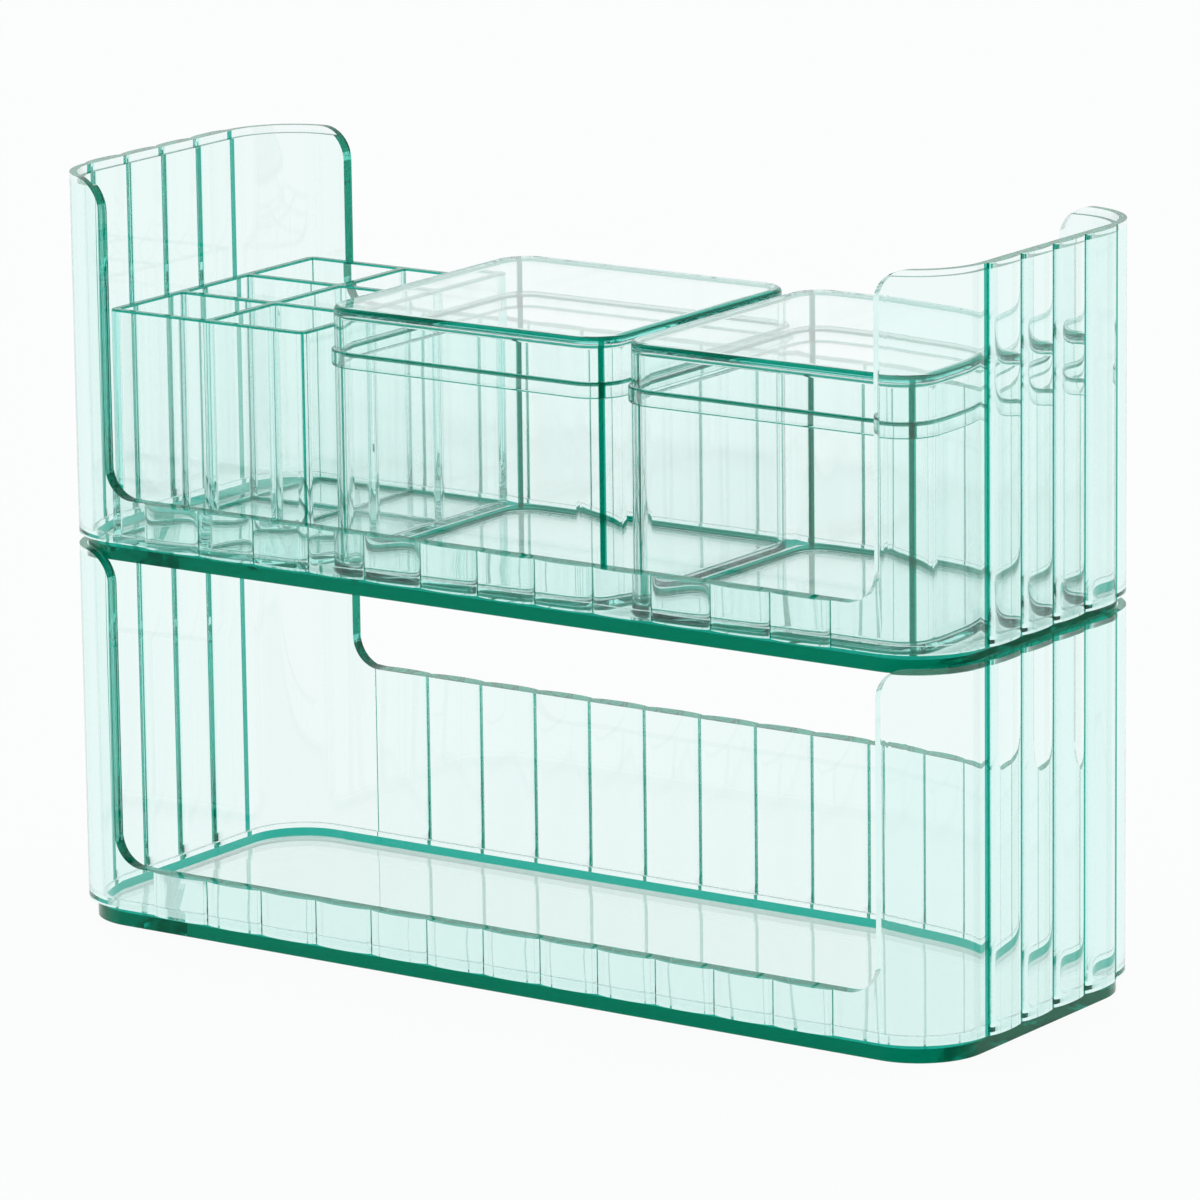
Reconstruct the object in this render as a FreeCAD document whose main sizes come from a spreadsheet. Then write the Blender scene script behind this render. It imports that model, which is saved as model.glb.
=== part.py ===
import FreeCAD, Part
import math
import os
import Sketcher

# Stacking vanity organizer in clear tinted plastic, standing on z = 0 with its front towards -Y.
# Two equal fluted trays stack by a foot that drops into the rim of the tray below. The upper tray
# holds an open six-cell caddy and two boxes with lift-off lids. Lengths are millimetres.

doc = FreeCAD.newDocument("vanity_organizer")
sheet = doc.addObject("Spreadsheet::Sheet", "Sizes")

SIZES = (
    # Trays: the plain corners set the outside size, and the flutes stand proud of it.
    ("tray_width", 260),
    ("tray_depth", 94),
    ("tray_height", 94.2),
    ("corner_radius", 19),
    ("wall", 3.3),
    ("flute_depth", 1.5),
    ("long_flutes", 12),
    ("end_flutes", 4),
    ("plain_margin", 11.4),
    ("wall_foot_radius", 1.6),
    ("rim_radius", 0.8),
    # Foot, pan floor and the narrow ledge between the pan and the fluted wall.
    ("foot_height", 4.8),
    ("foot_inset", 2.2),
    ("foot_radius", 0.8),
    ("floor_thickness", 3),
    ("ledge_width", 1.1),
    ("ledge_height", 6.4),
    ("ledge_radius", 0.8),
    ("pan_radius", 1.2),
    # Rebate in the rim that takes the foot of the next tray.
    ("nest_depth", 1.8),
    ("nest_clearance", 0.3),
    # Openings cut down from the rim at the front and at the back.
    ("front_opening_width", 223),
    ("front_lip_height", 15.8),
    ("back_opening_width", 210),
    ("back_wall_height", 48.7),
    ("opening_corner_radius", 8),
    # Row of containers in the upper tray, from left to right.
    ("caddy_side_clearance", 1.3),
    ("caddy_corner_room", 3),
    ("caddy_gap", 4.4),
    ("box_side_clearance", 2.1),
    ("box_gap", 3.6),
    ("box_end_room", 0.7),
    # Caddy with two columns and three rows of cells.
    ("caddy_width", 59.6),
    ("caddy_height", 58.5),
    ("caddy_wall", 2.2),
    ("caddy_floor", 2),
    ("caddy_corner_radius", 2.5),
    ("caddy_cell_radius", 1),
    ("caddy_edge_radius", 0.4),
    ("caddy_columns", 2),
    ("caddy_rows", 3),
    # Boxes: a thinned rim above the shoulder goes up into the lid.
    ("box_shoulder_height", 50.8),
    ("box_wall", 2.2),
    ("box_floor", 2),
    ("box_corner_radius", 8.5),
    ("box_foot_radius", 1.6),
    ("box_rim_height", 3.4),
    ("box_rim_step", 1),
    # Lids: a flat cap whose thicker collar sits on the shoulder of the box.
    ("collar_height", 4),
    ("collar_proud", 0.8),
    ("collar_radius", 0.5),
    ("cap_height", 10.6),
    ("cap_top", 2),
    ("cap_wall", 2),
    ("cap_radius", 1.2),
    ("lid_clearance", 0.3),
    # Film of air under a piece that stands on another, and extra length of a cut beyond its face.
    ("rest_gap", 0.1),
    ("overrun", 4),
)
for row, (alias, value) in enumerate(SIZES, start=1):
    sheet.set(f"A{row}", alias)
    sheet.set(f"B{row}", str(value))
    sheet.setAlias(f"B{row}", alias)
doc.recompute()

# Sizes that follow from the sheet, written as expressions.
LONG_PITCH = "((Sizes.tray_width - 2 * Sizes.corner_radius - 2 * Sizes.plain_margin) / Sizes.long_flutes)"
END_PITCH = "((Sizes.tray_depth - 2 * Sizes.corner_radius) / Sizes.end_flutes)"
STACK_PITCH = "(Sizes.tray_height - Sizes.nest_depth + Sizes.rest_gap)"
PAN_INSET = "(Sizes.wall + Sizes.ledge_width)"
PAN_WIDTH = f"(Sizes.tray_width - 2 * {PAN_INSET})"
PAN_DEPTH = f"(Sizes.tray_depth - 2 * {PAN_INSET})"
PAN_RADIUS = f"(Sizes.corner_radius - {PAN_INSET})"

CADDY_DEPTH = f"({PAN_DEPTH} - 2 * Sizes.caddy_side_clearance)"
BOX_DEPTH = f"({PAN_DEPTH} - 2 * Sizes.box_side_clearance)"
# The caddy has square corners, so it stands off the end of the pan by the sweep of the pan's corner.
CADDY_ROOM = (
    f"({PAN_RADIUS} - sqrt({PAN_RADIUS} ^ 2 - ({PAN_RADIUS} - Sizes.caddy_side_clearance) ^ 2)"
    " + Sizes.caddy_corner_room)"
)
BOX_ROOM = f"(max({PAN_RADIUS} - Sizes.box_corner_radius; 0) + Sizes.box_end_room)"
BOX_WIDTH = (
    f"(({PAN_WIDTH} - {CADDY_ROOM} - {BOX_ROOM} - Sizes.caddy_width"
    " - Sizes.caddy_gap - Sizes.box_gap) / 2)"
)
CADDY_X = f"({CADDY_ROOM} + Sizes.caddy_width / 2 - {PAN_WIDTH} / 2)"
RIGHT_BOX_X = f"({PAN_WIDTH} / 2 - {BOX_ROOM} - {BOX_WIDTH} / 2)"
LEFT_BOX_X = f"({RIGHT_BOX_X} - {BOX_WIDTH} - Sizes.box_gap)"
CONTENTS_Z = f"({STACK_PITCH} + Sizes.floor_thickness + Sizes.rest_gap)"
LID_Z = f"({CONTENTS_Z} + Sizes.box_shoulder_height + Sizes.rest_gap)"


def number(expression):
    """Value of an expression of the sheet's sizes."""
    return float(sheet.evalExpression(expression))


def arc_between(start, end, bulge):
    """Arc from start to end: a positive bulge curves to the right of the way along the chord."""
    chord = end.sub(start)
    side = FreeCAD.Vector(-chord.y, chord.x, 0).normalize()
    rise = math.sqrt(bulge ** 2 - (chord.Length / 2) ** 2)
    centre = start.add(end).multiply(1 / 2).add(side.multiply(math.copysign(rise, bulge)))
    first, last = (start, end) if bulge > 0 else (end, start)
    angles = [math.atan2(point.y - centre.y, point.x - centre.x) for point in (first, last)]
    circle = Part.Circle(centre, FreeCAD.Vector(0, 0, 1), abs(bulge))
    return Part.ArcOfCircle(circle, *angles)


def outline(body, name, plane, level, corners):
    """Closed outline on a plane of the body, at a level above it. Each corner is (x, y, bulge): bulge
    is the radius of the arc that leaves the corner, negative where it curves inward, or None."""
    sketch = body.newObject("Sketcher::SketchObject", name)
    support = next(item for item in body.Origin.OriginFeatures if item.Role == plane)
    sketch.AttachmentSupport = [(support, "")]
    sketch.MapMode = "FlatFace"
    if level is not None:
        sketch.setExpression("AttachmentOffset.Base.z", level)
    points = [FreeCAD.Vector(number(x), number(y), 0) for x, y, bulge in corners]
    edges = []
    starts = []
    ends = []
    for index, (x, y, bulge) in enumerate(corners):
        way = (points[index], points[(index + 1) % len(points)])
        turned = bulge is not None and number(bulge) < 0
        edges.append(Part.LineSegment(*way) if bulge is None else arc_between(*way, number(bulge)))
        starts.append(2 if turned else 1)
        ends.append(1 if turned else 2)
    sketch.addGeometry(edges)
    origin = (-1, 1)
    rules = []
    bound = []
    for index, (x, y, bulge) in enumerate(corners):
        here = (index, starts[index])
        previous = (index - 1) % len(corners)
        rules.append(Sketcher.Constraint("Coincident", previous, ends[previous], *here))
        bound.append((len(rules), x))
        rules.append(Sketcher.Constraint("DistanceX", *origin, *here, points[index].x))
        bound.append((len(rules), y))
        rules.append(Sketcher.Constraint("DistanceY", *origin, *here, points[index].y))
        if bulge is not None:
            bound.append((len(rules), f"abs({bulge})"))
            rules.append(Sketcher.Constraint("Radius", index, abs(number(bulge))))
    sketch.addConstraint(rules)
    for place, expression in bound:
        sketch.setExpression(f"Constraints[{place}]", expression)
    return sketch


def rounded_rectangle(width, depth, radius):
    """Corners of a rectangle with rounded corners, centred on the origin."""
    across = f"({width} / 2)"
    along = f"({depth} / 2)"
    short_across = f"({across} - {radius})"
    short_along = f"({along} - {radius})"
    return [
        (f"-{short_across}", f"-{along}", None),
        (short_across, f"-{along}", radius),
        (across, f"-{short_along}", None),
        (across, short_along, radius),
        (short_across, along, None),
        (f"-{short_across}", along, radius),
        (f"-{across}", short_along, None),
        (f"-{across}", f"-{short_along}", radius),
    ]


def fluted_rectangle():
    """Corners of the trays' outside: plain round corners, and between them a row of shallow arcs on
    each side, with a plain margin at both ends of the long sides."""
    across = "(Sizes.tray_width / 2)"
    along = "(Sizes.tray_depth / 2)"
    radius = "Sizes.corner_radius"
    plain_end = "(Sizes.tray_width / 2 - Sizes.corner_radius)"
    end_start = "(Sizes.tray_depth / 2 - Sizes.corner_radius)"
    long_start = f"({plain_end} - Sizes.plain_margin)"
    long_bulge = f"({LONG_PITCH} ^ 2 / (8 * Sizes.flute_depth) + Sizes.flute_depth / 2)"
    end_bulge = f"({END_PITCH} ^ 2 / (8 * Sizes.flute_depth) + Sizes.flute_depth / 2)"
    long_flutes = int(number("Sizes.long_flutes"))
    end_flutes = int(number("Sizes.end_flutes"))
    corners = []
    for sign in ("", "-"):
        turn = "-" if sign == "" else ""
        corners.append((f"{turn}{plain_end}", f"{turn}{along}", None))
        for flute in range(long_flutes):
            corners.append((f"{turn}({long_start} - {flute} * {LONG_PITCH})", f"{turn}{along}", long_bulge))
        corners.append((f"{sign}{long_start}", f"{turn}{along}", None))
        corners.append((f"{sign}{plain_end}", f"{turn}{along}", radius))
        for flute in range(end_flutes):
            corners.append((f"{sign}{across}", f"{turn}({end_start} - {flute} * {END_PITCH})", end_bulge))
        corners.append((f"{sign}{across}", f"{sign}{end_start}", radius))
    return corners


def opening_outline(width, sill):
    """Corners of an opening cut down from the rim: rounded at the sill, flared round at the rim."""
    half = f"({width} / 2)"
    radius = "Sizes.opening_corner_radius"
    flare = f"({half} + {radius})"
    short = f"({half} - {radius})"
    above = "(Sizes.tray_height + Sizes.overrun)"
    shoulder = f"(Sizes.tray_height - {radius})"
    heel = f"({sill} + {radius})"
    return [
        (f"-{short}", sill, None),
        (short, sill, radius),
        (half, heel, None),
        (half, shoulder, f"-{radius}"),
        (flare, "Sizes.tray_height", None),
        (flare, above, None),
        (f"-{flare}", above, None),
        (f"-{flare}", "Sizes.tray_height", f"-{radius}"),
        (f"-{half}", shoulder, None),
        (f"-{half}", heel, radius),
    ]


def pad(body, sketch, name, length):
    """Solid grown from a sketch along its normal."""
    feature = body.newObject("PartDesign::Pad", name)
    feature.Profile = sketch
    feature.setExpression("Length", length)
    doc.recompute()
    return feature


def pocket(body, sketch, name, length, reversed_cut=False):
    """Cut from a sketch against its normal, or along it where reversed."""
    feature = body.newObject("PartDesign::Pocket", name)
    feature.Profile = sketch
    feature.setExpression("Length", length)
    feature.Reversed = reversed_cut
    doc.recompute()
    return feature


def edge_names(shape, wanted):
    """Names of a shape's edges that pass a test."""
    return [f"Edge{place}" for place, edge in enumerate(shape.Edges, start=1) if wanted(edge)]


def level_edges(shape, level, width=None):
    """Names of the edges that lie flat at one height, all of them or those within a width about x = 0."""
    near = Part.Precision.confusion()
    reach = math.inf if width is None else number(f"{width} / 2") + near

    def at_level(edge):
        box = edge.BoundBox
        flat = max(abs(box.ZMin - level), abs(box.ZMax - level)) < near
        return flat and max(abs(box.XMin), abs(box.XMax)) <= reach

    return edge_names(shape, at_level)


def round_edges(body, base, name, radius, edges):
    """Rounded edges on the last feature of a body."""
    feature = body.newObject("PartDesign::Fillet", name)
    feature.Base = (base, edges)
    feature.setExpression("Radius", radius)
    doc.recompute()
    return feature


def new_body(label, x=None, z=None):
    """Body that carries a piece's name and stands at its place in the organizer."""
    body = doc.addObject("PartDesign::Body", label)
    body.Label = label
    if x is not None:
        body.setExpression("Placement.Base.x", x)
    if z is not None:
        body.setExpression("Placement.Base.z", z)
    return body


def make_tray(label, z=None):
    """Tray moulded in one piece, fluted outside, smooth inside and cut down at the front and back."""
    body = new_body(label, z=z)
    rim = "Sizes.tray_height"

    wall_plan = outline(body, f"{label}_wall_plan", "XY_Plane", "Sizes.foot_height", fluted_rectangle())
    wall = pad(body, wall_plan, f"{label}_wall", f"{rim} - Sizes.foot_height")
    heel_edges = level_edges(wall.Shape, number("Sizes.foot_height"))
    heel = round_edges(body, wall, f"{label}_heel", "Sizes.wall_foot_radius", heel_edges)
    rim_edges = level_edges(heel.Shape, number(rim))
    round_edges(body, heel, f"{label}_rim", "Sizes.rim_radius", rim_edges)

    foot_size = ["Sizes.tray_width - 2 * Sizes.foot_inset", "Sizes.tray_depth - 2 * Sizes.foot_inset"]
    foot_corner = "(Sizes.corner_radius - Sizes.foot_inset)"
    foot_corners = rounded_rectangle(*[f"({size})" for size in foot_size], foot_corner)
    foot_plan = outline(body, f"{label}_foot_plan", "XY_Plane", None, foot_corners)
    foot = pad(body, foot_plan, f"{label}_foot", "Sizes.foot_height")
    foot_edges = level_edges(foot.Shape, 0)
    round_edges(body, foot, f"{label}_foot_edge", "Sizes.foot_radius", foot_edges)

    inner_width = "(Sizes.tray_width - 2 * Sizes.wall)"
    inner_depth = "(Sizes.tray_depth - 2 * Sizes.wall)"
    inner_corner = "(Sizes.corner_radius - Sizes.wall)"
    inner_corners = rounded_rectangle(inner_width, inner_depth, inner_corner)
    cavity_plan = outline(body, f"{label}_cavity_plan", "XY_Plane", rim, inner_corners)
    cavity = pocket(body, cavity_plan, f"{label}_cavity", f"{rim} - Sizes.ledge_height")
    ledge_edges = level_edges(cavity.Shape, number("Sizes.ledge_height"), inner_width)
    round_edges(body, cavity, f"{label}_ledge", "Sizes.ledge_radius", ledge_edges)

    pan_corners = rounded_rectangle(PAN_WIDTH, PAN_DEPTH, PAN_RADIUS)
    pan_plan = outline(body, f"{label}_pan_plan", "XY_Plane", "Sizes.ledge_height", pan_corners)
    pan = pocket(body, pan_plan, f"{label}_pan", "Sizes.ledge_height - Sizes.floor_thickness")
    pan_edges = level_edges(pan.Shape, number("Sizes.floor_thickness"))
    round_edges(body, pan, f"{label}_pan_edge", "Sizes.pan_radius", pan_edges)

    nest_size = [f"({size} + 2 * Sizes.nest_clearance)" for size in foot_size]
    nest_corners = rounded_rectangle(*nest_size, f"({foot_corner} + Sizes.nest_clearance)")
    nest_plan = outline(body, f"{label}_nest_plan", "XY_Plane", rim, nest_corners)
    pocket(body, nest_plan, f"{label}_nest", "Sizes.nest_depth")

    reach = "Sizes.tray_depth / 2 + Sizes.flute_depth + Sizes.overrun"
    front_corners = opening_outline("Sizes.front_opening_width", "Sizes.front_lip_height")
    front_plan = outline(body, f"{label}_front_plan", "XZ_Plane", None, front_corners)
    pocket(body, front_plan, f"{label}_front", reach, reversed_cut=True)
    back_corners = opening_outline("Sizes.back_opening_width", "Sizes.back_wall_height")
    back_plan = outline(body, f"{label}_back_plan", "XZ_Plane", None, back_corners)
    pocket(body, back_plan, f"{label}_back", reach)
    return body


def make_caddy(label):
    """Open caddy moulded as one block of cells on a common floor."""
    body = new_body(label, CADDY_X, CONTENTS_Z)
    block_corners = rounded_rectangle("Sizes.caddy_width", CADDY_DEPTH, "Sizes.caddy_corner_radius")
    block_plan = outline(body, f"{label}_block_plan", "XY_Plane", None, block_corners)
    block = pad(body, block_plan, f"{label}_block", "Sizes.caddy_height")
    foot_edges = level_edges(block.Shape, 0)
    round_edges(body, block, f"{label}_foot", "Sizes.caddy_cell_radius", foot_edges)

    cell_pitch = ["((Sizes.caddy_width - Sizes.caddy_wall) / Sizes.caddy_columns)"]
    cell_pitch.append(f"(({CADDY_DEPTH} - Sizes.caddy_wall) / Sizes.caddy_rows)")
    cell_size = [f"({pitch} - Sizes.caddy_wall)" for pitch in cell_pitch]
    cell_corners = rounded_rectangle(*cell_size, "Sizes.caddy_cell_radius")
    counts = [int(number(f"Sizes.{name}")) for name in ("caddy_columns", "caddy_rows")]
    for column in range(counts[0]):
        for row in range(counts[1]):
            shifts = [f"(({place} - ({count} - 1) / 2) * {pitch})"
                      for place, count, pitch in zip((column, row), counts, cell_pitch)]
            corners = [(f"{x} + {shifts[0]}", f"{y} + {shifts[1]}", bulge) for x, y, bulge in cell_corners]
            name = f"{label}_cell_{column}_{row}"
            plan = outline(body, f"{name}_plan", "XY_Plane", "Sizes.caddy_height", corners)
            cells = pocket(body, plan, name, "Sizes.caddy_height - Sizes.caddy_floor")
    floor_edges = level_edges(cells.Shape, number("Sizes.caddy_floor"))
    floors = round_edges(body, cells, f"{label}_floors", "Sizes.caddy_cell_radius", floor_edges)
    top_edges = level_edges(floors.Shape, number("Sizes.caddy_height"))
    round_edges(body, floors, f"{label}_rims", "Sizes.caddy_edge_radius", top_edges)
    return body


def make_box(label, x):
    """Straight-sided box with a shoulder and a thinner rim for its lid."""
    body = new_body(label, x, CONTENTS_Z)
    side_corners = rounded_rectangle(BOX_WIDTH, BOX_DEPTH, "Sizes.box_corner_radius")
    side_plan = outline(body, f"{label}_side_plan", "XY_Plane", None, side_corners)
    side = pad(body, side_plan, f"{label}_side", "Sizes.box_shoulder_height")
    foot_edges = level_edges(side.Shape, 0)
    round_edges(body, side, f"{label}_foot", "Sizes.box_foot_radius", foot_edges)

    rim_corners = rounded_rectangle(f"({BOX_WIDTH} - 2 * Sizes.box_rim_step)",
                                    f"({BOX_DEPTH} - 2 * Sizes.box_rim_step)",
                                    "(Sizes.box_corner_radius - Sizes.box_rim_step)")
    rim_plan = outline(body, f"{label}_rim_plan", "XY_Plane", "Sizes.box_shoulder_height", rim_corners)
    pad(body, rim_plan, f"{label}_rim", "Sizes.box_rim_height")

    top = "Sizes.box_shoulder_height + Sizes.box_rim_height"
    room_corners = rounded_rectangle(f"({BOX_WIDTH} - 2 * Sizes.box_wall)",
                                     f"({BOX_DEPTH} - 2 * Sizes.box_wall)",
                                     "(Sizes.box_corner_radius - Sizes.box_wall)")
    room_plan = outline(body, f"{label}_room_plan", "XY_Plane", top, room_corners)
    room = pocket(body, room_plan, f"{label}_room", f"{top} - Sizes.box_floor")
    floor_edges = level_edges(room.Shape, number("Sizes.box_floor"))
    round_edges(body, room, f"{label}_floor", "Sizes.box_foot_radius", floor_edges)
    return body


def make_lid(label, x):
    """Lift-off cap: its collar sits on the shoulder of the box, round the box's rim."""
    body = new_body(label, x, LID_Z)
    collar_corners = rounded_rectangle(f"({BOX_WIDTH} + 2 * Sizes.collar_proud)",
                                       f"({BOX_DEPTH} + 2 * Sizes.collar_proud)",
                                       "(Sizes.box_corner_radius + Sizes.collar_proud)")
    collar_plan = outline(body, f"{label}_collar_plan", "XY_Plane", None, collar_corners)
    collar = pad(body, collar_plan, f"{label}_collar", "Sizes.collar_height")
    collar_edges = level_edges(collar.Shape, 0) + level_edges(collar.Shape, number("Sizes.collar_height"))
    round_edges(body, collar, f"{label}_collar_edge", "Sizes.collar_radius", collar_edges)

    cap_corners = rounded_rectangle(BOX_WIDTH, BOX_DEPTH, "Sizes.box_corner_radius")
    cap_plan = outline(body, f"{label}_cap_plan", "XY_Plane", "Sizes.collar_height", cap_corners)
    cap = pad(body, cap_plan, f"{label}_cap", "Sizes.cap_height")
    cap_edges = level_edges(cap.Shape, number("Sizes.collar_height + Sizes.cap_height"))
    round_edges(body, cap, f"{label}_cap_edge", "Sizes.cap_radius", cap_edges)

    socket_inset = "(Sizes.box_rim_step - Sizes.lid_clearance)"
    socket_corners = rounded_rectangle(f"({BOX_WIDTH} - 2 * {socket_inset})",
                                       f"({BOX_DEPTH} - 2 * {socket_inset})",
                                       f"(Sizes.box_corner_radius - {socket_inset})")
    socket_plan = outline(body, f"{label}_socket_plan", "XY_Plane", None, socket_corners)
    pocket(body, socket_plan, f"{label}_socket", "Sizes.box_rim_height + Sizes.lid_clearance",
           reversed_cut=True)

    room_corners = rounded_rectangle(f"({BOX_WIDTH} - 2 * Sizes.cap_wall)",
                                     f"({BOX_DEPTH} - 2 * Sizes.cap_wall)",
                                     "(Sizes.box_corner_radius - Sizes.cap_wall)")
    room_plan = outline(body, f"{label}_room_plan", "XY_Plane", None, room_corners)
    ceiling = "Sizes.collar_height + Sizes.cap_height - Sizes.cap_top"
    room = pocket(body, room_plan, f"{label}_room", ceiling, reversed_cut=True)
    ceiling_edges = level_edges(room.Shape, number(ceiling))
    round_edges(body, room, f"{label}_ceiling", "Sizes.cap_radius", ceiling_edges)
    return body


pieces = [
    make_tray("lower_tray"),
    make_tray("upper_tray", STACK_PITCH),
    make_caddy("caddy"),
    make_box("left_box", LEFT_BOX_X),
    make_lid("left_lid", LEFT_BOX_X),
    make_box("right_box", RIGHT_BOX_X),
    make_lid("right_lid", RIGHT_BOX_X),
]
doc.recompute()

failed = [item.Name for item in doc.Objects if {"Invalid", "Error"} & set(item.State)]
failed += [piece.Label for piece in pieces if piece.Shape.isNull() or not piece.Shape.isValid()]
failed += [piece.Label for piece in pieces if len(piece.Shape.Solids) != 1]
if failed:
    raise RuntimeError("pieces that did not build: " + ", ".join(failed))

os.makedirs("parts", exist_ok=True)
for piece in pieces:
    piece.Shape.exportStep(os.path.join("parts", f"{piece.Label}.step"))
    size = piece.Shape.optimalBoundingBox()
    print(piece.Label, f"{size.XLength:.1f} x {size.YLength:.1f} x {size.ZLength:.1f} mm,",
          f"z {size.ZMin:.1f} to {size.ZMax:.1f} mm, {piece.Shape.Volume:.0f} mm3")
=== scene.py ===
import math
import bpy
from mathutils import Matrix, Vector


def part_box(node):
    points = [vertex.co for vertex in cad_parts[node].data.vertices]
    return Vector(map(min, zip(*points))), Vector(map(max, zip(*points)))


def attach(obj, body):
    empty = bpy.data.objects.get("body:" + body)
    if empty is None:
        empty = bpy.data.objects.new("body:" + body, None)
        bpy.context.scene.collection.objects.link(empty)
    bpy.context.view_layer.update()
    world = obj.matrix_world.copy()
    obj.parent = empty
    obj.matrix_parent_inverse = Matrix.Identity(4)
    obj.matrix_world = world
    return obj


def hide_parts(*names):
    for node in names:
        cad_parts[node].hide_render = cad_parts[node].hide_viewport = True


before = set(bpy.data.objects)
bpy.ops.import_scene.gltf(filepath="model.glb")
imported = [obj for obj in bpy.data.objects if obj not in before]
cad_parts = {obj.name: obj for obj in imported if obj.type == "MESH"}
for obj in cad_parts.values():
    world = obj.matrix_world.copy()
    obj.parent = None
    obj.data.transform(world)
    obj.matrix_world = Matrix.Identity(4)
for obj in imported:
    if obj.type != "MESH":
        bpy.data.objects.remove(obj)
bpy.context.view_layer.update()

# The two trays are equal clear styrene mouldings with a green tint: fluted outside, smooth inside.
# Each is injection moulded in one piece with steep valleys between its rounded flutes, and polished.
# The foot of the upper tray stands in a rebate of the rim below.
TRAY_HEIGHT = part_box("lower_tray")[1][2]
FLUTE_DEPTH = 0.0015
TRAY_WIDTH = 2 * (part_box("lower_tray")[1][0] - FLUTE_DEPTH)
TRAY_DEPTH = 2 * (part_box("lower_tray")[1][1] - FLUTE_DEPTH)
CORNER_RADIUS = 0.019
CORNER_STEPS = 24
WALL = 0.0033
LONG_FLUTES = 12
END_FLUTES = 4
PLAIN_MARGIN = 0.0114
FLUTE_STEPS = 64
FLUTE_OVERLAP_SHARE = 1.002
FOOT_HEIGHT = 0.0048
FOOT_INSET = 0.0022
FLOOR_THICKNESS = 0.003
LEDGE_WIDTH = 0.0011
LEDGE_HEIGHT = 0.0064
NEST_INSET = 0.0019
NEST_DEPTH = 0.0018
FRONT_OPENING_WIDTH = 0.223
FRONT_LIP_HEIGHT = 0.0158
BACK_OPENING_WIDTH = 0.210
BACK_WALL_HEIGHT = 0.0487
OPENING_RADIUS = 0.008
OPENING_STEPS = 12
OVERRUN = 0.004
SMOOTH_ANGLE = math.radians(25)
TRAY_TINT = (0.94, 0.985, 0.976, 1.0)
TRAY_ABSORPTION = (16.0, 2.0, 3.5)
# Painted shade: the deep green painted on the rims, valleys, corner seams, foot and rounded edges of the
# clear mouldings, where the real walls look dark from light that runs along them.
PAINTED_EDGE_SHADE = (0.001, 0.31, 0.2, 1.0)
VALLEY_SLOPE = 0.6
RIM_SLOPE = 0.3
SEAM_SLOPE = 0.996
# Share of the painted shade put on the floor of the pan, which looks darker where it is seen at a low
# angle.
PAN_PAINTED_SHADE_SHARE = 0.07
# How opaque the painted shade makes those faces, so that its deep green shows.
PAINTED_SHADE_OPACITY = 0.3
PLASTIC_IOR = 1.5
DULLEST_POLISH = 0.02
RIPPLE_DETAIL = 2.0
RIPPLE_STRENGTH = 0.12
TRAY_RIPPLE_SCALE = 18.0
TRAY_RIPPLE_HEIGHT = 0.0004


def block(low, high):
    """Block between two corners, with its place and size in its mesh."""
    middle = (Vector(low) + Vector(high)) / 2
    bpy.ops.object.select_all(action="DESELECT")
    bpy.ops.mesh.primitive_cube_add(size=1, location=middle, scale=Vector(high) - Vector(low))
    bpy.ops.object.transform_apply(location=True, rotation=True, scale=True)
    return bpy.context.object


def round_edges(piece, along, radius, steps, below=math.inf):
    """Rounds the edges of a block that run along one axis, all of them or those below a height."""
    bpy.ops.object.mode_set(mode="EDIT")
    bpy.ops.mesh.select_mode(type="EDGE")
    bpy.ops.mesh.select_all(action="DESELECT")
    bpy.ops.object.mode_set(mode="OBJECT")
    for edge in piece.data.edges:
        first, last = [piece.data.vertices[place].co for place in edge.vertices]
        line = last - first
        runs_along = abs(line[along]) > line.length / 2
        edge.select = runs_along and (first.z + last.z) / 2 < below
    bpy.ops.object.mode_set(mode="EDIT")
    bpy.ops.mesh.bevel(offset=radius, segments=steps)
    bpy.ops.object.mode_set(mode="OBJECT")


def tray_block(inset, low, high):
    """Upright block with the tray's rounded corners, set in from the plain outside of the tray."""
    across = TRAY_WIDTH / 2 - inset
    along = TRAY_DEPTH / 2 - inset
    piece = block((-across, -along, low), (across, along, high))
    round_edges(piece, 2, CORNER_RADIUS - inset, CORNER_STEPS)
    return piece


def combine(piece, operation, tool, overlapping=False):
    """Joins a tool to a piece, or cuts it from the piece, and removes the tool. The tool's own parts
    may overlap."""
    modifier = piece.modifiers.new("combine", "BOOLEAN")
    modifier.operation = operation
    modifier.solver = "EXACT"
    modifier.use_self = overlapping
    modifier.object = tool
    bpy.ops.object.select_all(action="DESELECT")
    bpy.context.view_layer.objects.active = piece
    bpy.ops.object.modifier_apply(modifier=modifier.name)
    bpy.data.objects.remove(tool)


def column(x, y, across, along):
    """Upright column with an oval plan, from the heel to the rim: its outer half is a flute."""
    bpy.ops.object.select_all(action="DESELECT")
    bpy.ops.mesh.primitive_cylinder_add(vertices=FLUTE_STEPS, radius=1, depth=TRAY_HEIGHT - FOOT_HEIGHT,
                                        location=(x, y, (FOOT_HEIGHT + TRAY_HEIGHT) / 2),
                                        scale=(across, along, 1))
    bpy.ops.object.transform_apply(location=True, rotation=True, scale=True)
    return bpy.context.object


def flute_columns():
    """All columns round the tray as one object: rows along the long sides and along the ends."""
    long_pitch = (TRAY_WIDTH - 2 * CORNER_RADIUS - 2 * PLAIN_MARGIN) / LONG_FLUTES
    end_pitch = (TRAY_DEPTH - 2 * CORNER_RADIUS) / END_FLUTES
    columns = []
    for side in (-1, 1):
        for flute in range(LONG_FLUTES):
            place = (flute - (LONG_FLUTES - 1) / 2) * long_pitch
            half = long_pitch / 2 * FLUTE_OVERLAP_SHARE
            columns.append(column(place, side * TRAY_DEPTH / 2, half, FLUTE_DEPTH))
        for flute in range(END_FLUTES):
            place = (flute - (END_FLUTES - 1) / 2) * end_pitch
            half = end_pitch / 2 * FLUTE_OVERLAP_SHARE
            columns.append(column(side * TRAY_WIDTH / 2, place, FLUTE_DEPTH, half))
    for piece in columns:
        piece.select_set(True)
    bpy.ops.object.join()
    return bpy.context.object


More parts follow.
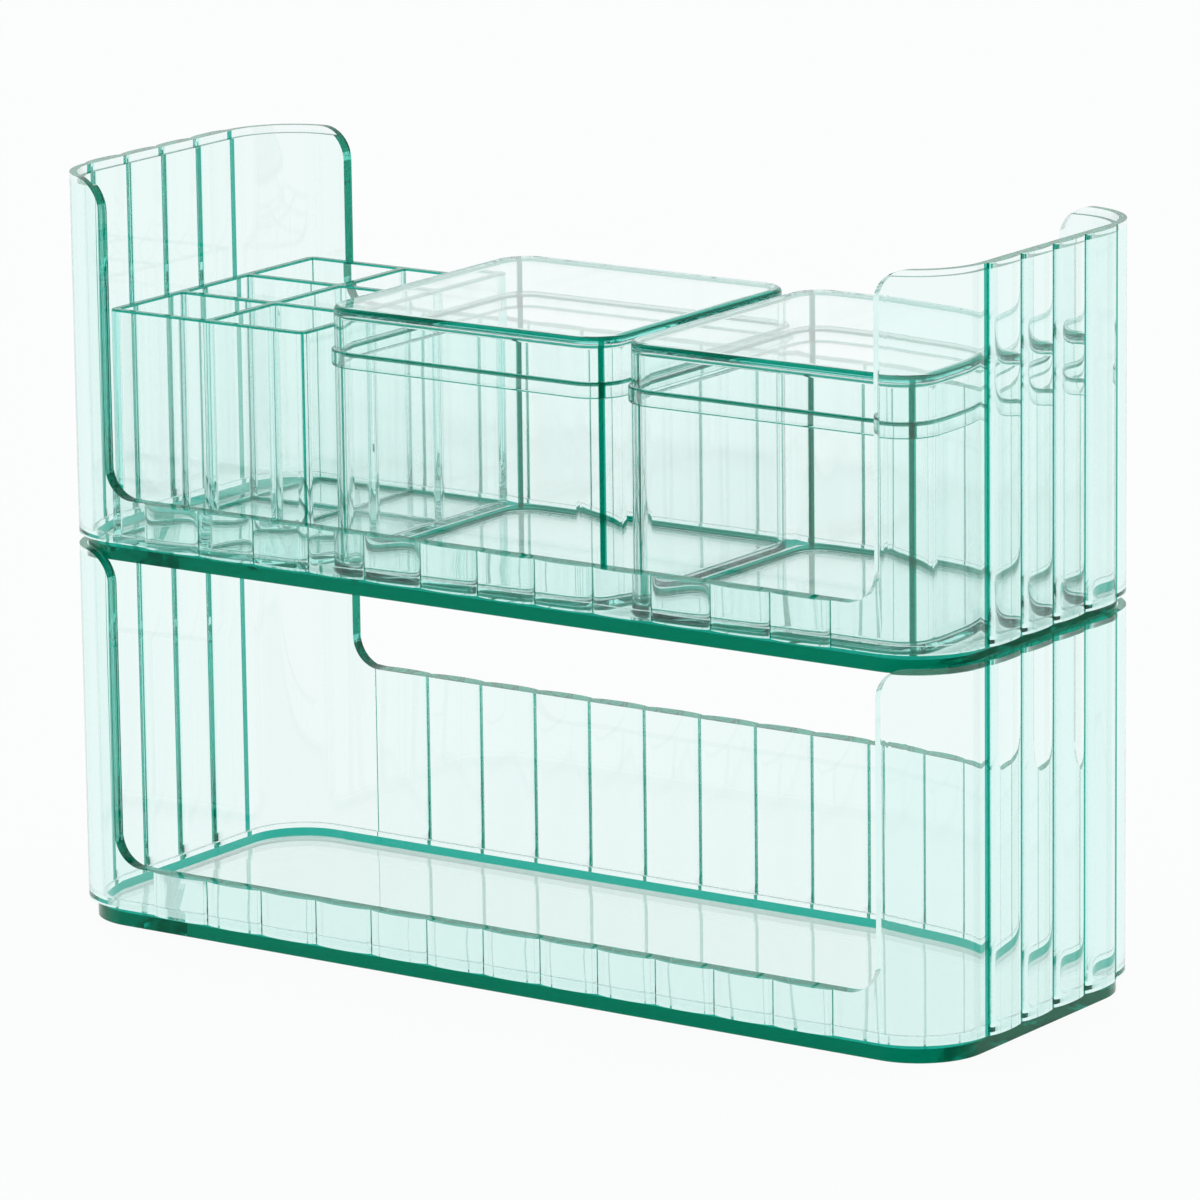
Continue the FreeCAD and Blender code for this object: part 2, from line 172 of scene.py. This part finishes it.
def cut_opening(piece, side, width, sill):
    """Cuts an opening from the rim down: rounded at its sill, and flared round at the rim."""
    half = width / 2
    near, far = sorted((0, side * (TRAY_DEPTH / 2 + FLUTE_DEPTH + OVERRUN)))
    top = TRAY_HEIGHT + OVERRUN
    shoulder = TRAY_HEIGHT - OPENING_RADIUS
    window = block((-half, near, sill), (half, far, top))
    round_edges(window, 1, OPENING_RADIUS, OPENING_STEPS, below=sill + OVERRUN)
    combine(piece, "DIFFERENCE", window)
    for end in (-1, 1):
        outer = end * (half + OPENING_RADIUS)
        low, high = sorted((end * (half - OVERRUN), outer))
        flare = block((low, near, shoulder), (high, far, top))
        bpy.ops.object.select_all(action="DESELECT")
        place = (outer, (near + far) / 2, shoulder)
        bpy.ops.mesh.primitive_cylinder_add(vertices=4 * OPENING_STEPS, radius=OPENING_RADIUS,
                                            depth=2 * (far - near), location=place,
                                            rotation=(math.pi / 2, 0, 0))
        bpy.ops.object.transform_apply(location=True, rotation=True, scale=True)
        combine(flare, "DIFFERENCE", bpy.context.object)
        combine(piece, "DIFFERENCE", flare)


def tray_shell(name):
    """Whole tray, standing on z = 0."""
    shell = tray_block(0, FOOT_HEIGHT, TRAY_HEIGHT)
    combine(shell, "UNION", flute_columns(), overlapping=True)
    combine(shell, "UNION", tray_block(FOOT_INSET, 0, LEDGE_HEIGHT))
    combine(shell, "DIFFERENCE", tray_block(WALL, LEDGE_HEIGHT, TRAY_HEIGHT + OVERRUN))
    combine(shell, "DIFFERENCE", tray_block(WALL + LEDGE_WIDTH, FLOOR_THICKNESS, LEDGE_HEIGHT + OVERRUN))
    combine(shell, "DIFFERENCE", tray_block(NEST_INSET, TRAY_HEIGHT - NEST_DEPTH, TRAY_HEIGHT + OVERRUN))
    cut_opening(shell, -1, FRONT_OPENING_WIDTH, FRONT_LIP_HEIGHT)
    cut_opening(shell, 1, BACK_OPENING_WIDTH, BACK_WALL_HEIGHT)
    bpy.ops.object.select_all(action="DESELECT")
    shell.select_set(True)
    bpy.context.view_layer.objects.active = shell
    bpy.ops.object.shade_smooth_by_angle(angle=SMOOTH_ANGLE)
    shell.name = name
    return shell


def mark_painted_shade(shell):
    """Marks the narrow faces of a tray that get painted shade, as in the real tray they look dark
    because
    light runs to them along the walls: the rims, sills, sides of the openings, valleys between the
    flutes, seams of the corners and the side of the foot. The floor of the pan, which is seen at a low
    angle, has a small share of the painted shade."""
    mark = shell.data.attributes.new("edge", "FLOAT", "FACE")
    for face in shell.data.polygons:
        middle = face.center
        normal = face.normal
        in_long_wall = abs(middle.y) > TRAY_DEPTH / 2 - WALL / 2
        in_end_wall = abs(middle.x) > TRAY_WIDTH / 2 - WALL / 2
        in_corner = abs(middle.y) > TRAY_DEPTH / 2 - CORNER_RADIUS
        outside = normal.x * middle.x + normal.y * middle.y > 0
        valley = in_long_wall and abs(normal.x) > VALLEY_SLOPE
        valley = valley or in_end_wall and abs(normal.y) > VALLEY_SLOPE
        seam = in_corner and outside and abs(normal.x) > SEAM_SLOPE
        rim = middle.z > 2 * LEDGE_HEIGHT and abs(normal.z) > RIM_SLOPE
        foot = outside and middle.z < FOOT_HEIGHT and abs(normal.z) < RIM_SLOPE
        pan = middle.z < FOOT_HEIGHT and normal.z > RIM_SLOPE
        mark.data[face.index].value = max(float(valley or seam or rim or foot), PAN_PAINTED_SHADE_SHARE * pan)


def painted_shade_on_marks(nodes, links):
    """Painted shade mask: 1 on the marked faces of a tray, where the deep green is painted."""
    mark = nodes.new("ShaderNodeAttribute")
    mark.attribute_name = "edge"
    return mark.outputs["Fac"]


def clear_plastic(name, tint, absorption, edges, ripple_scale, ripple_height):
    """Polished clear moulding: tinted on its skin and through its thickness (absorption per metre), with
    painted shade along its edges that also makes them partly opaque, a faint flow ripple and a polish
    that varies along the ripple."""
    material = bpy.data.materials.new(name)
    material.use_nodes = True
    nodes = material.node_tree.nodes
    links = material.node_tree.links
    shader = nodes["Principled BSDF"]
    shader.inputs["IOR"].default_value = PLASTIC_IOR
    coordinates = nodes.new("ShaderNodeTexCoord")
    flow = nodes.new("ShaderNodeTexNoise")
    flow.inputs["Scale"].default_value = ripple_scale
    flow.inputs["Detail"].default_value = RIPPLE_DETAIL
    links.new(coordinates.outputs["Object"], flow.inputs["Vector"])
    polish = nodes.new("ShaderNodeMapRange")
    polish.inputs["To Min"].default_value = 0.0
    polish.inputs["To Max"].default_value = DULLEST_POLISH
    links.new(flow.outputs["Fac"], polish.inputs["Value"])
    links.new(polish.outputs["Result"], shader.inputs["Roughness"])
    ripple = nodes.new("ShaderNodeBump")
    ripple.inputs["Strength"].default_value = RIPPLE_STRENGTH
    ripple.inputs["Distance"].default_value = ripple_height
    links.new(flow.outputs["Fac"], ripple.inputs["Height"])
    links.new(ripple.outputs["Normal"], shader.inputs["Normal"])
    # The base colour is the plastic's own tint, mixed with painted shade where the mask is set; the same
    # mix tints the reflections, and the painted shade makes those faces partly opaque.
    tint_and_painted_shade = nodes.new("ShaderNodeMix")
    tint_and_painted_shade.data_type = "RGBA"
    tint_and_painted_shade.inputs["A"].default_value = tint
    tint_and_painted_shade.inputs["B"].default_value = PAINTED_EDGE_SHADE
    painted_shade_mask = edges(nodes, links)
    links.new(painted_shade_mask, tint_and_painted_shade.inputs["Factor"])
    links.new(tint_and_painted_shade.outputs["Result"], shader.inputs["Base Color"])
    links.new(tint_and_painted_shade.outputs["Result"], shader.inputs["Specular Tint"])
    clearness = nodes.new("ShaderNodeMapRange")
    clearness.inputs["To Min"].default_value = 1.0
    clearness.inputs["To Max"].default_value = 1.0 - PAINTED_SHADE_OPACITY
    links.new(painted_shade_mask, clearness.inputs["Value"])
    links.new(clearness.outputs["Result"], shader.inputs["Transmission Weight"])
    density = 2 * max(absorption)
    depth = nodes.new("ShaderNodeVolumeAbsorption")
    depth.inputs["Color"].default_value = tuple(1.0 - value / density for value in absorption) + (1.0,)
    depth.inputs["Density"].default_value = density
    links.new(depth.outputs["Volume"], nodes["Material Output"].inputs["Volume"])
    return material


def dress(material, *names):
    """Gives CAD nodes their finish."""
    for name in names:
        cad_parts[name].material_slots[0].material = material


# The tray's marked faces carry painted shade, a deep green where the real clear walls look dark.
clear_tray = clear_plastic("clear_tray", TRAY_TINT, TRAY_ABSORPTION, painted_shade_on_marks,
                           TRAY_RIPPLE_SCALE, TRAY_RIPPLE_HEIGHT)
lower_shell = tray_shell("lower_tray_shell")
mark_painted_shade(lower_shell)
upper_shell = lower_shell.copy()
upper_shell.data = lower_shell.data.copy()
upper_shell.name = "upper_tray_shell"
bpy.context.scene.collection.objects.link(upper_shell)
upper_shell.data.transform(Matrix.Translation((0, 0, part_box("upper_tray")[0][2])))
for shell, tray in ((lower_shell, "lower_tray"), (upper_shell, "upper_tray")):
    shell.data.materials.clear()
    shell.data.materials.append(clear_tray)
    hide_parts(tray)
    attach(shell, tray)

# The caddy is one clear block of six cells with thinner walls, moulded from the same tinted plastic.
# It stands loose at the left end of the upper tray, with fine square edges along its cell walls.
CADDY_TINT = (0.98, 0.996, 0.993, 1.0)
CADDY_ABSORPTION = (7.0, 0.8, 1.4)
# The thin band at the top of a rim, the slopes and the corner spread below set where painted shade goes
# on the caddy, boxes and lids.
RIM_BAND = 0.0005
CADDY_RIM_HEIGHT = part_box("caddy")[1][2] - RIM_BAND
SLOPE_START = 0.25
SLOPE_END = 0.9
CORNER_SPREAD = 0.12
CADDY_RIPPLE_SCALE = 30.0
CADDY_RIPPLE_HEIGHT = 0.0002


def math_step(nodes, links, operation, first, second):
    """One step of a sum with two values, each a socket or a number."""
    step = nodes.new("ShaderNodeMath")
    step.operation = operation
    for place, value in enumerate((first, second)):
        if isinstance(value, float):
            step.inputs[place].default_value = value
        else:
            links.new(value, step.inputs[place])
    return step.outputs[0]


def painted_shade_on_rounded_edges(nodes, links):
    """Painted shade mask that is 1 on the rounded edges of a moulding: on sloping faces, and in the
    middle of upright corners, where the deep green is painted."""
    coordinates = nodes.new("ShaderNodeTexCoord")
    size = nodes.new("ShaderNodeVectorMath")
    size.operation = "ABSOLUTE"
    links.new(coordinates.outputs["Normal"], size.inputs[0])
    parts = nodes.new("ShaderNodeSeparateXYZ")
    links.new(size.outputs["Vector"], parts.inputs["Vector"])
    sloping = math_step(nodes, links, "GREATER_THAN", parts.outputs["Z"], SLOPE_START)
    spread = math_step(nodes, links, "SUBTRACT", parts.outputs["X"], parts.outputs["Y"])
    corner = math_step(nodes, links, "COMPARE", spread, 0.0)
    corner.node.inputs[2].default_value = CORNER_SPREAD
    either = math_step(nodes, links, "MAXIMUM", sloping, corner)
    level = math_step(nodes, links, "LESS_THAN", parts.outputs["Z"], SLOPE_END)
    return math_step(nodes, links, "MULTIPLY", either, level)


def painted_shade_on_rim_and_edges(rim_height):
    """Painted shade mask that also takes in the level rim above a height."""
    def painted_shade_mask(nodes, links):
        coordinates = nodes.new("ShaderNodeTexCoord")
        parts = nodes.new("ShaderNodeSeparateXYZ")
        links.new(coordinates.outputs["Object"], parts.inputs["Vector"])
        rim = math_step(nodes, links, "GREATER_THAN", parts.outputs["Z"], rim_height)
        return math_step(nodes, links, "MAXIMUM", rim, painted_shade_on_rounded_edges(nodes, links))
    return painted_shade_mask


# The caddy's rim and rounded edges carry painted shade, a deep green where the real clear walls look
# dark.
clear_caddy = clear_plastic("clear_caddy", CADDY_TINT, CADDY_ABSORPTION, painted_shade_on_rim_and_edges(CADDY_RIM_HEIGHT),
                            CADDY_RIPPLE_SCALE, CADDY_RIPPLE_HEIGHT)
dress(clear_caddy, "caddy")

# The two boxes are straight-sided clear mouldings that stand loose in the tray beside the caddy.
# Their walls are thin and their corners round, and a stepped rim at the top guides the lid.
BOX_TINT = (0.993, 0.998, 0.997, 1.0)
BOX_ABSORPTION = (5.0, 0.6, 1.0)
BOX_RIM_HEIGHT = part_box("left_box")[1][2] - RIM_BAND
BOX_RIPPLE_SCALE = 24.0
BOX_RIPPLE_HEIGHT = 0.0003
# The boxes' rims and rounded edges carry painted shade as well.
clear_box = clear_plastic("clear_box", BOX_TINT, BOX_ABSORPTION, painted_shade_on_rim_and_edges(BOX_RIM_HEIGHT),
                          BOX_RIPPLE_SCALE, BOX_RIPPLE_HEIGHT)
dress(clear_box, "left_box", "right_box")

# The two lids are flat clear caps with a thicker collar that sits on the shoulder of the box.
# They are the flattest mouldings of the set, so their ripple is the longest and the faintest.
LID_TINT = (0.96, 0.992, 0.986, 1.0)
LID_ABSORPTION = (12.0, 1.5, 2.4)
LID_RIPPLE_SCALE = 14.0
LID_RIPPLE_HEIGHT = 0.0002
# The lids' rounded edges carry painted shade as well.
clear_lid = clear_plastic("clear_lid", LID_TINT, LID_ABSORPTION, painted_shade_on_rounded_edges, LID_RIPPLE_SCALE,
                          LID_RIPPLE_HEIGHT)
dress(clear_lid, "left_lid", "right_lid")

# The studio is a seamless white floor under a white surround that turns to a deep green card
# on the viewer's side. The card is what the edges of the clear walls show as dark lines.
FLOOR_SIZE = 12.0
FLOOR_GAP = 0.0004
FLOOR_GLOW_SHARE = 0.95
FLOOR_COLOUR = (0.9, 0.9, 0.9, 1.0)
FLOOR_ROUGHNESS = 0.9
CARD_COLOUR = (0.02, 0.36, 0.29, 1.0)
CARD_START = -0.3
CARD_END = 0.6
BOUNCES = 40
VIEW_AZIMUTH = math.radians(34.975)
VIEW_ELEVATION = math.radians(12.94)
towards_viewer = Vector((math.sin(VIEW_AZIMUTH) * math.cos(VIEW_ELEVATION),
                         -math.cos(VIEW_AZIMUTH) * math.cos(VIEW_ELEVATION),
                         math.sin(VIEW_ELEVATION)))

bpy.ops.object.select_all(action="DESELECT")
bpy.ops.mesh.primitive_plane_add(size=FLOOR_SIZE, location=(0, 0, -FLOOR_GAP))
floor = bpy.context.object
floor.name = "floor"
white = bpy.data.materials.new("white_sweep")
white.use_nodes = True
nodes = white.node_tree.nodes
links = white.node_tree.links
nodes["Principled BSDF"].inputs["Base Color"].default_value = FLOOR_COLOUR
nodes["Principled BSDF"].inputs["Roughness"].default_value = FLOOR_ROUGHNESS
glow = nodes.new("ShaderNodeEmission")
path = nodes.new("ShaderNodeLightPath")
seen = path.outputs["Is Camera Ray"]
for ray in ("Is Glossy Ray", "Is Transmission Ray"):
    either = nodes.new("ShaderNodeMath")
    either.operation = "MAXIMUM"
    links.new(seen, either.inputs[0])
    links.new(path.outputs[ray], either.inputs[1])
    seen = either.outputs[0]
share = nodes.new("ShaderNodeMath")
share.operation = "MULTIPLY"
share.inputs[1].default_value = FLOOR_GLOW_SHARE
links.new(seen, share.inputs[0])
mix = nodes.new("ShaderNodeMixShader")
links.new(share.outputs[0], mix.inputs["Fac"])
links.new(nodes["Principled BSDF"].outputs["BSDF"], mix.inputs[1])
links.new(glow.outputs["Emission"], mix.inputs[2])
links.new(mix.outputs["Shader"], nodes["Material Output"].inputs["Surface"])
floor.data.materials.append(white)

scene = bpy.context.scene
world = bpy.data.worlds.new("studio")
scene.world = world
world.use_nodes = True
nodes = world.node_tree.nodes
links = world.node_tree.links
coordinates = nodes.new("ShaderNodeTexCoord")
facing = nodes.new("ShaderNodeVectorMath")
facing.operation = "DOT_PRODUCT"
facing.inputs[1].default_value = towards_viewer
links.new(coordinates.outputs["Generated"], facing.inputs[0])
card = nodes.new("ShaderNodeMapRange")
card.interpolation_type = "SMOOTHSTEP"
card.inputs["From Min"].default_value = CARD_START
card.inputs["From Max"].default_value = CARD_END
links.new(facing.outputs["Value"], card.inputs["Value"])
surround = nodes.new("ShaderNodeMix")
surround.data_type = "RGBA"
surround.inputs["A"].default_value = (1.0, 1.0, 1.0, 1.0)
surround.inputs["B"].default_value = CARD_COLOUR
links.new(card.outputs["Result"], surround.inputs["Factor"])
links.new(surround.outputs["Result"], nodes["Background"].inputs["Color"])
scene.view_settings.view_transform = "Standard"
scene.cycles.max_bounces = BOUNCES
scene.cycles.transmission_bounces = BOUNCES
scene.cycles.glossy_bounces = BOUNCES

# The camera stands at the photograph's viewing angle, at the distance and focal length that were
# fitted to the edges of the pieces. The focal length is in pixels of the square picture.
VIEW_ROLL = math.radians(-0.728)
AIM = Vector((0.002274, -0.00006, 0.087414))
DISTANCE = 1.922752
FOCAL_PIXELS = 7976.06
PICTURE_PIXELS = 1200
SENSOR_WIDTH = 36.0
level_right = Vector((0, 0, 1)).cross(towards_viewer).normalized()
level_up = towards_viewer.cross(level_right)
right = math.cos(VIEW_ROLL) * level_right + math.sin(VIEW_ROLL) * level_up
up = math.cos(VIEW_ROLL) * level_up - math.sin(VIEW_ROLL) * level_right
camera_data = bpy.data.cameras.new("camera")
camera_data.sensor_width = SENSOR_WIDTH
camera_data.lens = SENSOR_WIDTH * FOCAL_PIXELS / PICTURE_PIXELS
camera = bpy.data.objects.new("camera", camera_data)
scene.collection.objects.link(camera)
turn = Matrix((right, up, towards_viewer)).transposed().to_4x4()
camera.matrix_world = Matrix.Translation(AIM + towards_viewer * DISTANCE) @ turn
scene.camera = camera
